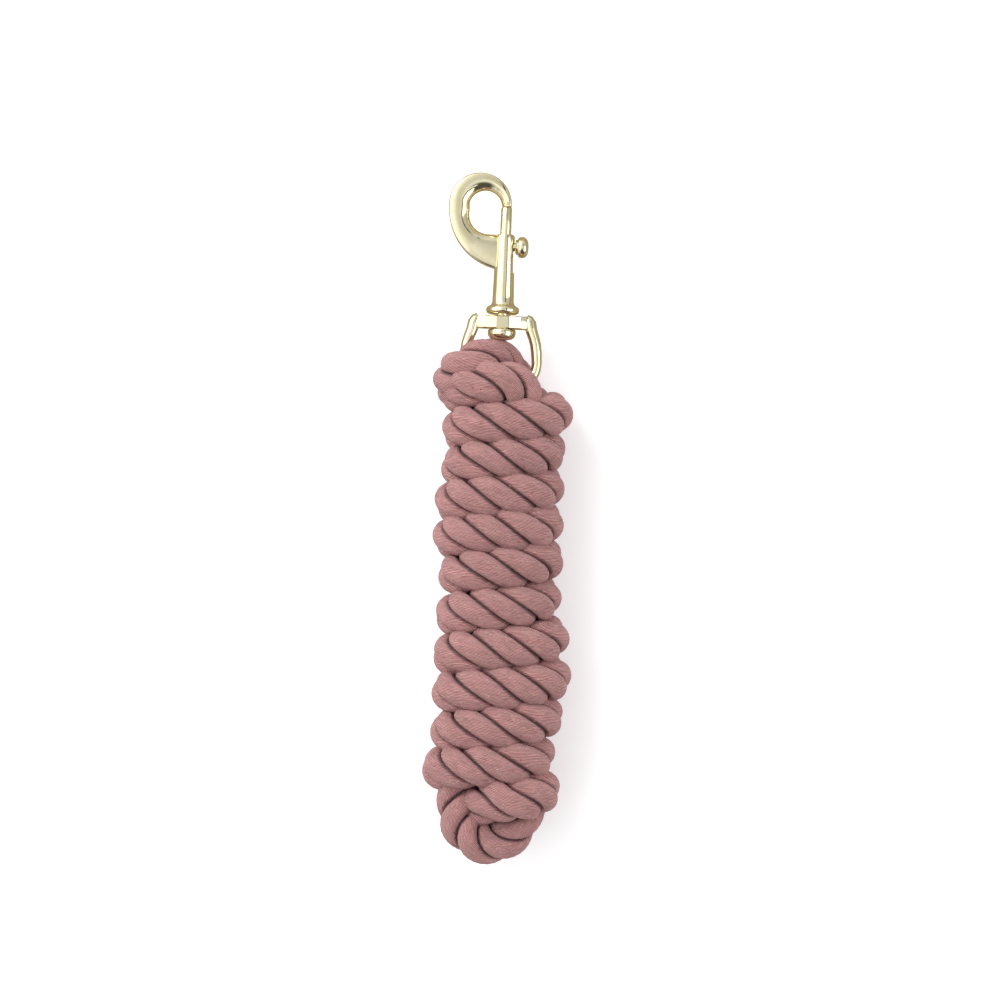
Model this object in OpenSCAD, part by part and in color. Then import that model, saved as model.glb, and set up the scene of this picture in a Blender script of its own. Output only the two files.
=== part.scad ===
// Lead rope: a laid cotton rope wound into a hank, with a swivel bolt snap at its top end.
// The rope lies on a flat surface (z = 0). X is across the hank, Y runs along it towards the
// snap, and Z is up. The origin is under the middle of the whole object.
// All sizes are in millimetres.

/* [Rope and hank] */
// Diameter of the laid rope
rope_d = 20; // [18:0.5:22]
// Width of the hank across its wraps
hank_w = 74; // [66:1:80]
// Thickness of the hank, from the surface it lies on to its top
hank_t = 62; // [58:1:72]
// Corner radius of the hank's cross-section
hank_r = 22; // [16:1:28]
// Corner radius of the hank's ends, seen from above
end_r = 18; // [12:1:28]
// Height of the last wrap's lower edge along the hank
hank_y0 = -150; // [-170:1:-130]
// Height of the first wrap's upper edge along the hank
hank_y1 = 78; // [70:1:82]

/* [Snap position] */
// Sideways place of the snap's axis from the hank's centre line
snap_x = -4.5; // [-6:0.5:6]
// Place of the foot flange's underside along the hank
snap_y = 105.5; // [104:0.5:107]

/* [Hook body] */
// Diameter of the barrel at its foot
barrel_d = 11; // [10:0.1:13]
// Diameter of the barrel at its open end
barrel_top_d = 9.6; // [9:0.1:11]
// Length of the barrel above the flange's underside
barrel_h = 41.4; // [39:0.1:43]
// Diameter of the foot flange
flange_d = 17.4; // [15:0.1:20]
// Height of the foot flange
flange_h = 5; // [4:0.1:6]
// Outer radius of the hook's ring
ring_r = 16.3; // [15.5:0.1:17]
// Sideways reach from the snap's axis to the ring's centre
ring_x = 13.7; // [13:0.1:14.5]
// Height of the ring's centre above the flange's underside
ring_y = 56.7; // [56:0.1:58]
// Radius of the blade's outer curve, from the ring down to the barrel
blade_r = 32; // [30:0.5:34]
// Drop of the blade curve's centre below the ring's centre
blade_drop = 2; // [1.5:0.1:2.5]
// Direction from the blade curve's centre in which the blade leaves the ring, in degrees
blade_start = 182; // [180:1:184]
// Direction from the blade curve's centre in which the blade reaches the barrel, in degrees
blade_end = 258; // [254:1:260]
// Height at which the blade's root meets the snap's axis
blade_root = 22; // [18:0.5:24]
// Radius of the throat's upper curve
throat_top_r = 8.4; // [7.5:0.1:9]
// Radius of the throat's lower curve
throat_low_r = 10.2; // [9:0.1:10.6]
// Distance of the upper curve's centre from the ring's centre, towards the barrel
throat_top_in = 2.7; // [2.4:0.1:3]
// Drop of the upper curve's centre below the ring's centre
throat_top_drop = 1.3; // [1:0.1:1.6]
// Distance of the lower curve's centre from the ring's centre, towards the barrel
throat_low_in = 4.7; // [4.2:0.1:5]
// Thickness of the hook
hook_t = 8.4; // [7:0.1:10]
// Height of the beak's end face above the flange's underside
beak_y = 56; // [55.5:0.1:57]

/* [Bolt, stud and spring] */
// Diameter of the sliding bolt
bolt_d = 5.7; // [5:0.1:6]
// Length of the bolt
bolt_l = 25; // [23:0.1:26]
// Chamfer round the bolt's tip
bolt_tip = 0.6; // [0.4:0.1:0.9]
// Travel of the bolt when it is drawn back
bolt_travel = 11; // [8:0.5:11]
// Gap between the closed bolt's tip and the beak
tip_gap = 0.3; // [0.2:0.05:0.5]
// Diameter of the stud's neck
neck_d = 4.4; // [3.6:0.1:4.8]
// Height of the stud's neck above the bolt's lower end
neck_up = 4.4; // [4:0.1:6]
// Diameter of the stud's shank inside the bolt
shank_d = 2.6; // [2:0.1:3]
// Diameter of the thumb knob
knob_d = 11; // [9:0.1:12]
// Thickness of the thumb knob
knob_t = 5.6; // [4:0.1:6]
// Distance from the snap's axis to the knob's inner face
knob_in = 6.6; // [6.4:0.1:7.5]
// Wire diameter of the bolt spring
wire_d = 0.8; // [0.6:0.1:0.9]
// Number of turns of the bolt spring
spring_turns = 8; // [6:1:9]

/* [Swivel] */
// Gap between the flange and the eye's bar
bar_gap = 0.5; // [0.3:0.1:0.8]
// Height of the eye's bar along the snap's axis
bar_h = 7; // [6:0.1:8]
// Depth of the eye's bar
bar_depth = 8; // [7:0.1:9]
// Width of the eye's bar between the arms' centre lines
bar_w = 29; // [27:0.5:31]
// Diameter of the boss in the middle of the bar
boss_d = 14; // [12:0.1:16]
// Wire diameter of the eye's arms
eye_d = 5.6; // [5:0.1:6]
// Half width of the eye at its widest, to the wire's centre line
eye_half = 18.8; // [18:0.1:20]
// Distance below the flange of the eye's widest place
eye_wide_y = 25; // [23:0.5:27]
// Distance below the flange of the wire's centre line at the eye's bottom
eye_low_y = 38.2; // [38:0.1:42]
// Diameter of the rivet's shoulder, which the eye turns on
shoulder_d = 6.4; // [6:0.1:7]
// Diameter of the rivet's shank pressed into the barrel
press_d = 5; // [4:0.1:5.4]
// Length of the pressed shank
press_l = 8; // [6:0.1:9]
// Diameter of the rivet's head
head_d = 14.6; // [12:0.1:16]
// Height of the rivet's head
head_h = 5.6; // [4:0.1:6]

/* [Tail] */
// Length of the twine whipping on the rope's cut end
whip_l = 8; // [6:1:9]
// Thickness of the whipping over the rope
whip_t = 0.7; // [0.5:0.1:0.9]

/* [Clearances] */
// Radial running clearance of a pin in its hole
run_gap = 0.08; // [0.05:0.01:0.1]
// Gap between faces of pieces that move on each other
face_gap = 0.3; // [0.25:0.05:0.4]

/* [Hidden] */
$fn = 64;
arc_steps = 48; // segments in each curve of the hook's outline

brass = "#d9c88f";
cotton = "#b3877f";
twine = "#e6ddd0";

axis_z = hank_t / 2;                          // height of the snap's axis over the surface
bolt_y0 = beak_y - tip_gap - bolt_l;          // lower end of the closed bolt
neck_y = bolt_y0 + neck_up;                   // height of the stud's neck, bolt closed
bore_d = bolt_d + 2 * run_gap;                // bore of the barrel
spring_d = bore_d - 2 * face_gap;             // outer diameter of the spring
spring_l = bolt_y0 - press_l;                 // length of the spring, bolt closed
slot_w = neck_d + 2 * face_gap;               // width of the stud's slot
slot_y0 = neck_y - bolt_travel - slot_w / 2;  // lower end of the slot
slot_y1 = neck_y + slot_w / 2;                // upper end of the slot
bar_top = -bar_gap;                           // upper face of the eye's bar
bar_low = bar_top - bar_h;                    // lower face of the eye's bar
head_top = bar_low - face_gap;                // upper face of the rivet's head
corner_r = eye_low_y - eye_wide_y;            // radius of the eye's lower corners
eye_bar_y = snap_y - eye_low_y;               // the eye's lower wire in the part's own frame

// Route of the rope through the eye: up behind the eye's lower wire, over it to the
// front, and away to the left side of the hank.
eye_route = [[6, 60, 17], [5, 68, 16], [1, 75, 19], [-4, 80, 25], [-8, 81.5, 33], [-12, 81, 41],
    [-17, 79.5, 45.5], [-22, 77, 45], [-26, 73.5, 40], [-27.5, 70, 32], [-27, 67.5, 24]];
// Route of the core's end bight, out of the hank on the left and back into it on the right.
end_route = [[-16, -142, 35], [-17, -150, 35], [-16, -158, 35], [-11, -165, 35], [-3, -169, 35],
    [5, -168, 35], [12, -162, 34], [16, -154, 33], [17, -146, 32], [15, -138, 31]];
// Route of the tail: the last wrap dives into the end bight, and its end lies out behind.
tail_route = [[0, -144, 46], [-4, -148, 40], [-6.5, -150, 32], [-8, -150, 23], [-9, -151, 18.5],
    [-9.5, -153.5, 14.5], [-10, -157.5, 12], [-10, -162, 11], [-10, -170, 11]];

function add_arc(cx, cy, r, a0, a1, n) =
    [for (i = [0:n]) [cx + r * cos(a0 + (a1 - a0) * i / n), cy + r * sin(a0 + (a1 - a0) * i / n)]];

// Unit vector, and the direction of a route at its point i.
function unit(v) = v / norm(v);
function heading(route, i) =
    unit(route[min(i + 1, len(route) - 1)] - route[max(i - 1, 0)]);

// One ring of the tube round a route's point.
function ring_points(route, i, r, sides) =
    let (t = heading(route, i),
         side = unit(cross(t, abs(t[2]) > 0.9 ? [0, 1, 0] : [0, 0, 1])),
         top = cross(side, t))
    [for (k = [0:sides - 1]) route[i] + r * (cos(360 * k / sides) * side + sin(360 * k / sides) * top)];

// A closed tube swept along a route.
module tube(route, d, sides = 12) {
    rings = len(route);
    points = [for (i = [0:rings - 1]) each ring_points(route, i, d / 2, sides)];
    walls = [for (i = [0:rings - 2]) for (k = [0:sides - 1])
        [i * sides + k, i * sides + (k + 1) % sides,
         (i + 1) * sides + (k + 1) % sides, (i + 1) * sides + k]];
    first = [[for (k = [sides - 1:-1:0]) k]];
    last = [[for (k = [0:sides - 1]) (rings - 1) * sides + k]];
    polyhedron(points, concat(first, walls, last), convexity = 10);
}

// Places a piece of the snap: local Z runs along the snap's axis, local Y points down.
module on_axis() {
    translate([snap_x, snap_y, axis_z]) rotate([-90, 0, 0]) children();
}

// Places a flat outline drawn in X and Y on the snap, centred on its axis in thickness.
module flat_on_axis(thickness) {
    translate([snap_x, snap_y, axis_z - thickness / 2]) linear_extrude(thickness) children();
}

// Cross-section of the hank: a rectangle with round corners.
module hank_section() {
    square([hank_w - 2 * hank_r, hank_t], center = true);
    square([hank_w, hank_t - 2 * hank_r], center = true);
    for (x = [-1, 1], y = [-1, 1])
        translate([x * (hank_w / 2 - hank_r), y * (hank_t / 2 - hank_r)]) circle(hank_r);
}

// Outline of the hank seen from above: a rectangle with round ends.
module hank_plan() {
    length = hank_y1 - hank_y0;
    translate([-hank_w / 2, hank_y0 + end_r]) square([hank_w, length - 2 * end_r]);
    translate([-hank_w / 2 + end_r, hank_y0]) square([hank_w - 2 * end_r, length]);
    for (x = [-1, 1], y = [hank_y0 + end_r, hank_y1 - end_r])
        translate([x * (hank_w / 2 - end_r), y]) circle(end_r);
}

// The wound hank: its wraps and the core inside them as one closed solid, with a gap for
// the lower half of the eye.
module rope_hank() {
    gap = eye_d / 2 + face_gap;
    color(cotton) difference() {
        intersection() {
            translate([0, hank_y0, hank_t / 2]) rotate([-90, 0, 0])
                linear_extrude(hank_y1 - hank_y0) hank_section();
            linear_extrude(hank_t) hank_plan();
        }
        translate([snap_x - eye_half - eye_d / 2 - face_gap, eye_bar_y - gap, axis_z - gap])
            cube([2 * eye_half + eye_d + 2 * face_gap, hank_y1, 2 * gap]);
    }
}

module rope_eye_bight() {
    color(cotton) tube(eye_route, rope_d);
}

module rope_end_bight() {
    color(cotton) tube(end_route, rope_d);
}

module rope_tail() {
    color(cotton) tube(tail_route, rope_d);
}

// Twine wound round the rope's cut end, which runs straight along -Y there.
module tail_whipping() {
    color(twine) translate(tail_route[len(tail_route) - 1]) rotate([-90, 0, 0]) difference() {
        cylinder(d = rope_d + 2 * whip_t, h = whip_l);
        translate([0, 0, -1]) cylinder(d = rope_d, h = whip_l + 2);
    }
}

// Outline of the hook: ring, blade and root at the barrel, without its throat.
module hook_outline() {
    blade_x = blade_r - ring_x - ring_r;
    polygon(concat(
        [[0, beak_y]],
        add_arc(-ring_x, ring_y, ring_r, asin((beak_y - ring_y) / ring_r), 180, arc_steps),
        add_arc(blade_x, ring_y - blade_drop, blade_r, blade_start, blade_end, arc_steps),
        [[0, blade_root]]));
}

// Opening of the hook that the tied thing hangs in.
module throat_outline() {
    hull() {
        translate([throat_top_in - ring_x, ring_y - throat_top_drop]) circle(throat_top_r, $fn = arc_steps);
        translate([throat_low_in - ring_x, barrel_h + throat_low_r]) circle(throat_low_r, $fn = arc_steps);
    }
    translate([throat_low_in - ring_x, barrel_h]) square([ring_x - throat_low_in + ring_r, beak_y - barrel_h]);
}

module hook_body() {
    color(brass) difference() {
        union() {
            on_axis() cylinder(d1 = barrel_d, d2 = barrel_top_d, h = barrel_h);
            on_axis() rotate_extrude() polygon([[0, 0], [flange_d / 2 - 1.6, 0], [flange_d / 2 - 0.4, 0.8],
                [flange_d / 2, 2], [flange_d / 2 - 0.5, 3.2], [flange_d / 2 - 2, 4.2],
                [barrel_d / 2 + 0.2, flange_h], [0, flange_h]]);
            difference() {
                flat_on_axis(hook_t) hook_outline();
                flat_on_axis(hook_t + 2) throat_outline();
            }
        }
        on_axis() translate([0, 0, press_l]) cylinder(d = bore_d, h = barrel_h);
        on_axis() translate([0, 0, -1]) cylinder(d = press_d, h = press_l + 2);
        translate([snap_x, snap_y + slot_y0, axis_z - slot_w / 2])
            cube([barrel_d, slot_y1 - slot_y0, slot_w]);
    }
}

// Sliding bolt with a chamfered tip and a cross hole for the stud's shank.
module bolt() {
    color(brass) difference() {
        on_axis() translate([0, 0, bolt_y0]) {
            cylinder(d = bolt_d, h = bolt_l - bolt_tip);
            translate([0, 0, bolt_l - bolt_tip])
                cylinder(d1 = bolt_d, d2 = bolt_d - 2 * bolt_tip, h = bolt_tip);
        }
        translate([snap_x - bolt_d / 4, snap_y + neck_y, axis_z]) rotate([0, 90, 0])
            cylinder(d = shank_d, h = bolt_d);
    }
}

// Thumb stud: shank in the bolt, neck through the barrel's slot, domed knob outside.
module thumb_stud() {
    color(brass) translate([snap_x, snap_y + neck_y, axis_z]) rotate([0, 90, 0]) {
        translate([0, 0, -bolt_d / 4]) cylinder(d = shank_d, h = bolt_d);
        difference() {
            translate([0, 0, bolt_d / 4]) cylinder(d = neck_d, h = knob_in - bolt_d / 4 + 0.5);
            rotate([90, 0, 0]) cylinder(d = bolt_d, h = 2 * bolt_d, center = true);
        }
        translate([0, 0, knob_in]) rotate_extrude() polygon([[0, 0], [knob_d / 2 - 1.4, 0],
            [knob_d / 2 - 0.4, 0.6], [knob_d / 2, 1.8], [knob_d / 2 - 0.3, 3.2],
            [knob_d / 2 - 1.4, 4.5], [knob_d / 2 - 3, knob_t - 0.3], [0, knob_t]]);
    }
}

// Compression spring under the bolt, drawn as a helix of six-sided wire.
module bolt_spring() {
    steps = 14;
    turns = spring_turns;
    low = press_l + wire_d / 2 + 0.05;
    high = press_l + spring_l - wire_d / 2 - 0.05;
    mean_r = (spring_d - wire_d) / 2;
    route = [for (i = [0:turns * steps])
        [mean_r * cos(360 * i / steps), mean_r * sin(360 * i / steps),
         low + (high - low) * i / (turns * steps)]];
    color("silver") on_axis() tube(route, wire_d, 6);
}

// Shouldered rivet: the eye turns on its shoulder, its shank is pressed into the barrel.
module swivel_rivet() {
    color(brass) on_axis() {
        translate([0, 0, -0.01]) cylinder(d = press_d, h = press_l + 0.01);
        translate([0, 0, head_top - 0.01]) cylinder(d = shoulder_d, h = -head_top + 0.01);
        translate([0, 0, head_top - head_h]) rotate_extrude() polygon([[0, 0], [head_d / 2 - 4, 0.2],
            [head_d / 2 - 1.8, 1.1], [head_d / 2 - 0.4, 2.6], [head_d / 2, 3.8],
            [head_d / 2 - 0.3, head_h - 0.6], [head_d / 2 - 1, head_h], [0, head_h]]);
    }
}

// One side of the eye's wire: a straight arm, a round corner and half of the bottom.
module eye_side() {
    arm = [eye_half - bar_w / 2, eye_wide_y + bar_top - bar_h / 2];
    lean = atan2(arm[0], arm[1]);
    translate([eye_half, 0, -eye_wide_y]) rotate([0, -lean, 0]) cylinder(d = eye_d, h = norm(arm));
    translate([eye_half, 0, -eye_wide_y]) sphere(d = eye_d);
    translate([eye_half - corner_r, 0, -eye_wide_y]) rotate([90, 0, 0])
        rotate_extrude(angle = -90) translate([corner_r, 0]) circle(d = eye_d);
    translate([0, 0, -eye_low_y]) rotate([0, 90, 0]) cylinder(d = eye_d, h = eye_half - corner_r);
    translate([bar_w / 2, 0, (bar_top + bar_low) / 2]) sphere(d = bar_h);
}

// Swivel eye: cross bar with its boss, and the D of round wire that the rope goes through.
module swivel_eye() {
    color(brass) on_axis() difference() {
        union() {
            translate([-bar_w / 2, -bar_depth / 2, bar_low]) cube([bar_w, bar_depth, bar_h]);
            translate([0, 0, bar_low]) cylinder(d = boss_d, h = bar_h);
            eye_side();
            mirror([1, 0, 0]) eye_side();
        }
        translate([0, 0, bar_low - 1]) cylinder(d = shoulder_d + 2 * run_gap, h = bar_h + 2);
    }
}

rope_hank();
rope_eye_bight();
rope_end_bight();
rope_tail();
tail_whipping();
swivel_eye();
swivel_rivet();
hook_body();
bolt();
thumb_stud();
bolt_spring();
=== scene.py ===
"""Lead rope: a three-strand cotton rope wound into a hank, with a swivelling bolt snap."""
import logging
import math
import random
from dataclasses import dataclass, field
from enum import Enum

import bmesh
import bpy
from mathutils import Matrix, Vector


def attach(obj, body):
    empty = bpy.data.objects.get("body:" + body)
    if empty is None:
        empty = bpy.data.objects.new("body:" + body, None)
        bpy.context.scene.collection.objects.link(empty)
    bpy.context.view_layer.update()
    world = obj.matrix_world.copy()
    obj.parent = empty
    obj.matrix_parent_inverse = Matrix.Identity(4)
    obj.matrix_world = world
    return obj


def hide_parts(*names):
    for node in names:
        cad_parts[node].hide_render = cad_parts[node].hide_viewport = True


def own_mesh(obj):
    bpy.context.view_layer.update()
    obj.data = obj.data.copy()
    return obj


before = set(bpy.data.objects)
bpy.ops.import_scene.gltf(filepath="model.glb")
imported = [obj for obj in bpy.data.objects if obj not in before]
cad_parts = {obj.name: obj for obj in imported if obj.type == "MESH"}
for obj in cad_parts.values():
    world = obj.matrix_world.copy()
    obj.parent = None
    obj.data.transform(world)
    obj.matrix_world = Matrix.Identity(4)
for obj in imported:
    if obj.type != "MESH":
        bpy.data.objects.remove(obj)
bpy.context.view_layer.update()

log = logging.getLogger("lead_rope")

MM = 0.001
SNAP_X, SNAP_Y, AXIS_Z = -4.5, 105.5, 31.0  # foot of the snap's axis, in millimetres


class Body(str, Enum):
    """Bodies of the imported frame."""

    ROPE = "rope"
    SNAP = "snap"
    BOLT = "bolt"


class Slot(str, Enum):
    """Material slots of the record."""

    ROPE = "rope"
    WHIPPING = "whipping"
    METAL = "snap_metal"
    SPRING = "spring_steel"


class Sock:
    """A shader value: wraps an output socket, and an expression on it adds Math nodes."""

    def __init__(self, tree: "Tree", socket: bpy.types.NodeSocket) -> None:
        """Keep the tree and the socket.

        Args:
            tree: the node tree that owns the socket.
            socket: the output socket to wrap.
        """
        self.tree = tree
        self.socket = socket

    def _maths(self, operation: str, a: "Sock | float", b: "Sock | float") -> "Sock":
        """Add one Math node.

        Args:
            operation: the node's operation.
            a: first value.
            b: second value.

        Returns:
            The node's result.
        """
        return self.tree.node("ShaderNodeMath", {"operation": operation}, {0: a, 1: b})

    def __add__(self, other: "Sock | float") -> "Sock":
        """Add."""
        return self._maths("ADD", self, other)

    def __radd__(self, other: float) -> "Sock":
        """Add, reflected."""
        return self._maths("ADD", other, self)

    def __sub__(self, other: "Sock | float") -> "Sock":
        """Subtract."""
        return self._maths("SUBTRACT", self, other)

    def __rsub__(self, other: float) -> "Sock":
        """Subtract, reflected."""
        return self._maths("SUBTRACT", other, self)

    def __mul__(self, other: "Sock | float") -> "Sock":
        """Multiply."""
        return self._maths("MULTIPLY", self, other)

    def __rmul__(self, other: float) -> "Sock":
        """Multiply, reflected."""
        return self._maths("MULTIPLY", other, self)

    def apply(self, operation: str, other: "Sock | float" = 0.0) -> "Sock":
        """Apply any other Math operation.

        Args:
            operation: the Math node's operation.
            other: its second value.

        Returns:
            The result.
        """
        return self._maths(operation, self, other)


class Tree:
    """Builder of one material's node tree."""

    def __init__(self, name: str, world: bool = False) -> None:
        """Make a material or a world with an empty tree.

        Args:
            name: its name.
            world: whether it is a world.
        """
        self.material = (bpy.data.worlds if world else bpy.data.materials).new(name)
        self.material.use_nodes = True
        self.tree = self.material.node_tree
        self.tree.nodes.clear()

    def node(self, kind: str, settings: dict | None = None, values: dict | None = None,
             out: int | str = 0) -> Sock:
        """Add a node of any type.

        Args:
            kind: the node's type.
            settings: its properties, set first.
            values: its input sockets by name or number, as numbers, tuples or Sock.
            out: name or number of the output to return.

        Returns:
            The chosen output.
        """
        n = self.tree.nodes.new(kind)
        for key, value in (settings or {}).items():
            setattr(n, key, value)
        for key, value in (values or {}).items():
            if isinstance(value, Sock):
                self.tree.links.new(value.socket, n.inputs[key])
            else:
                n.inputs[key].default_value = value
        return Sock(self, n.outputs[out])

    def uv(self) -> tuple[Sock, Sock]:
        """Return the piece's own UV map as two numbers.

        Returns:
            U and V.
        """
        uv = self.node("ShaderNodeUVMap", {"uv_map": "UVMap"})
        return (self.node("ShaderNodeSeparateXYZ", values={0: uv}, out="X"),
                self.node("ShaderNodeSeparateXYZ", values={0: uv}, out="Y"))

    def vector(self, x: Sock | float, y: Sock | float) -> Sock:
        """Join two numbers to a vector.

        Args:
            x: first part.
            y: second part.

        Returns:
            The vector.
        """
        return self.node("ShaderNodeCombineXYZ", values={0: x, 1: y})

    def wave(self, turns: Sock) -> Sock:
        """Make a wave from 0 to 1 that goes up and down once in each turn.

        Args:
            turns: the number of turns.

        Returns:
            The wave.
        """
        return (turns * (2 * math.pi)).apply("SINE") * 0.5 + 0.5

    def noise(self, place: Sock, scale: float, detail: float) -> Sock:
        """Add a noise texture.

        Args:
            place: its vector.
            scale: its scale.
            detail: its detail.

        Returns:
            A number from 0 to 1.
        """
        return self.node("ShaderNodeTexNoise", values={"Vector": place, "Scale": scale,
                                                       "Detail": detail}, out="Fac")

    def blend(self, parts: tuple, shares: tuple) -> Sock:
        """Add values by their shares.

        Args:
            parts: the values.
            shares: the weight of each.

        Returns:
            The weighted sum.
        """
        return sum(part * share for part, share in zip(parts, shares))

    def mix(self, factor: Sock | float, a: "Sock | tuple", b: "Sock | tuple") -> Sock:
        """Mix two colours.

        Args:
            factor: 0 for a, 1 for b.
            a: first colour.
            b: second colour.

        Returns:
            The mixed colour.
        """
        return self.node("ShaderNodeMix", {"data_type": "RGBA"},
                         {"Factor": factor, 6: a, 7: b}, out=2)

    def ramp(self, value: Sock, low: float, high: float) -> Sock:
        """Map a number smoothly from low..high to 0..1.

        Args:
            value: the number.
            low: where the result is 0.
            high: where the result is 1.

        Returns:
            The mapped number.
        """
        return self.node("ShaderNodeMapRange", {"interpolation_type": "SMOOTHSTEP"},
                         {"Value": value, "From Min": low, "From Max": high}, out="Result")

    def finish(self, colour: "Sock | tuple", roughness: "Sock | float", height: Sock | None,
               bump: float, **shader: float) -> bpy.types.Material:
        """Close the tree with a shader and an optional bump.

        Args:
            colour: base colour.
            roughness: roughness.
            height: bump height, in units of bump.
            bump: distance of the bump in metres.
            shader: constant values of other shader sockets.

        Returns:
            The material.
        """
        values = {"Base Color": colour, "Roughness": roughness}
        values.update({key.replace("_", " "): value for key, value in shader.items()})
        if height is not None:
            values["Normal"] = self.node("ShaderNodeBump", values={
                "Strength": 1.0, "Distance": bump, "Height": height}, out="Normal")
        bsdf = self.node("ShaderNodeBsdfPrincipled", values=values)
        self.node_out(bsdf)
        return self.material

    def node_out(self, shader: Sock, kind: str = "ShaderNodeOutputMaterial") -> None:
        """Link a shader to the output.

        Args:
            shader: the shader.
            kind: the output's node type.
        """
        n = self.tree.nodes.new(kind)
        self.tree.links.new(shader.socket, n.inputs["Surface"])


def rgb(red: int, green: int, blue: int) -> tuple[float, float, float, float]:
    """Turn a display colour into a linear one.

    Args:
        red: 0 to 255.
        green: 0 to 255.
        blue: 0 to 255.

    Returns:
        The colour with alpha 1.
    """
    def line(c: int) -> float:
        """Turn one display value into a linear one."""
        c = c / 255
        return c / 12.92 if c <= 0.04045 else ((c + 0.055) / 1.055) ** 2.4
    return (line(red), line(green), line(blue), 1.0)


@dataclass(frozen=True)
class Speck:
    """One kind of small speck in the cotton."""

    colour: tuple
    scale: float      # how close the specks could lie
    edge: tuple       # where a speck fades out and where it is full
    rarity: float     # scale of the patches that hold specks
    patches: tuple    # where a patch begins and where it is full
    strength: float


@dataclass(frozen=True)
class CottonFinish:
    """Soft dusty pink cotton: yarns along the rope, flecks and lint; painted shade in creases and
    between yarns.
    """

    # crown and body are the light and dark ends of the tone, which is partly the cotton's own
    # uneven colour and partly painted light and shade across the yarns
    crown: tuple = rgb(219, 163, 159)
    body: tuple = rgb(143, 89, 87)
    # painted shade: the colour that the creases between the strands darken towards
    painted_groove_shade: tuple = rgb(84, 46, 46)
    specks: tuple = (Speck(rgb(172, 60, 62), 330.0, (0.34, 0.1), 120.0, (0.61, 0.67), 0.55),
                     Speck(rgb(236, 226, 220), 560.0, (0.3, 0.1), 160.0, (0.52, 0.66), 0.42))
    yarns: int = 42
    stray: float = 1.4           # how far a yarn wanders, in yarns
    fullness: float = 0.45       # power that rounds out a yarn's crown
    yarn_middle: float = 0.65    # height of a yarn's mean tone
    along_noises: tuple = ((7.0, 70.0, 2.0), (62.0, 170.0, 3.0), (170.0, 420.0, 3.0))
    place_noises: tuple = ((90.0, 3.0), (26.0, 2.0))
    tone_shares: tuple = (0.25, 0.2, 0.85, 0.7, 1.1)   # patch, cloud, yarn, strand, fibre
    relief_shares: tuple = (0.6, 0.8, 0.5, 0.3)        # yarn, strand, fibre, patch
    tone_shift: float = 0.58
    tone_range: tuple = (0.2, 0.85)
    # painted shade in the creases: crown heights where it is full and gone, how far strand noise
    # frays it, how dark it gets
    painted_shade_range: tuple = (0.42, 0.0)
    painted_shade_fray: float = 0.35
    painted_shade_strength: float = 0.85
    roughness: float = 0.93
    relief: float = 0.0009

    def material(self) -> bpy.types.Material:
        """Build the material.

        Returns:
            The cotton material.
        """
        t = Tree("dusty_pink_cotton")
        u, v = t.uv()
        # crown height of the rope's mesh, 0 in the creases between strands and 1 on their crowns:
        # the mask of the painted shade
        crease = t.node("ShaderNodeAttribute", {"attribute_name": "crown"}, out="Fac")
        place = t.node("ShaderNodeTexCoord", out="Object")
        # the yarns: a few wander, so that the lines aren't ruled
        wander, strand, fibre = (t.noise(t.vector(u * turns, v * along), 1.0, detail)
                                 for turns, along, detail in self.along_noises)
        patch, cloud = (t.noise(place, scale, detail) for scale, detail in self.place_noises)
        across = u * float(self.yarns) + (wander - 0.5) * self.stray
        # painted light and shade: the yarn wave, also the yarns' bump, makes each yarn lighter on
        # its crown and darker in the lines between yarns
        wave = t.wave(across).apply("POWER", self.fullness)
        tone = t.blend((patch, cloud, wave - self.yarn_middle, strand, fibre), self.tone_shares)
        colour = t.mix(t.ramp(tone - self.tone_shift, *self.tone_range), self.body, self.crown)
        # painted shade: darken the colour towards the creases between the strands
        shade = t.ramp(crease + (strand - 0.5) * self.painted_shade_fray, *self.painted_shade_range)
        colour = t.mix(shade * self.painted_shade_strength, colour, self.painted_groove_shade)
        for speck in self.specks:
            spot = t.node("ShaderNodeTexVoronoi", values={"Vector": place, "Scale": speck.scale})
            rare = t.noise(place, speck.rarity, 1.0)
            seen = t.ramp(spot, *speck.edge) * t.ramp(rare, *speck.patches)
            colour = t.mix(seen * speck.strength, colour, speck.colour)
        height = t.blend((wave, strand, fibre, patch), self.relief_shares)
        return t.finish(colour, self.roughness, height, self.relief, Specular_IOR_Level=0.12,
                        Sheen_Weight=0.18, Sheen_Roughness=0.5)


@dataclass(frozen=True)
class TwineFinish:
    """Pale waxed cotton twine, with painted shade in the lines between its plies."""

    # light and dark are the ends of the tone: painted light and shade across the plies, plus grime
    light: tuple = rgb(232, 223, 208)
    dark: tuple = rgb(190, 176, 156)
    plies: tuple = (3.0, 900.0)    # twist lines round the rope and along it
    grime_scale: float = 300.0
    grime: float = 0.4
    grime_relief: float = 0.3
    tone_range: tuple = (0.2, 0.8)
    roughness: float = 0.7
    relief: float = 0.0001

    def material(self) -> bpy.types.Material:
        """Build the material.

        Returns:
            The twine material.
        """
        t = Tree("waxed_twine")
        u, v = t.uv()
        # painted shade: the ply wave, also the twine's bump, makes the colour darker in the lines
        # between the plies
        ply = t.wave(u * self.plies[0] + v * self.plies[1])
        grime = t.noise(t.node("ShaderNodeTexCoord", out="Object"), self.grime_scale, 2.0)
        tone = t.ramp(ply * (1 - self.grime) + grime * self.grime, *self.tone_range)
        colour = t.mix(tone, self.dark, self.light)
        return t.finish(colour, self.roughness, ply + grime * self.grime_relief, self.relief)


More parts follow.
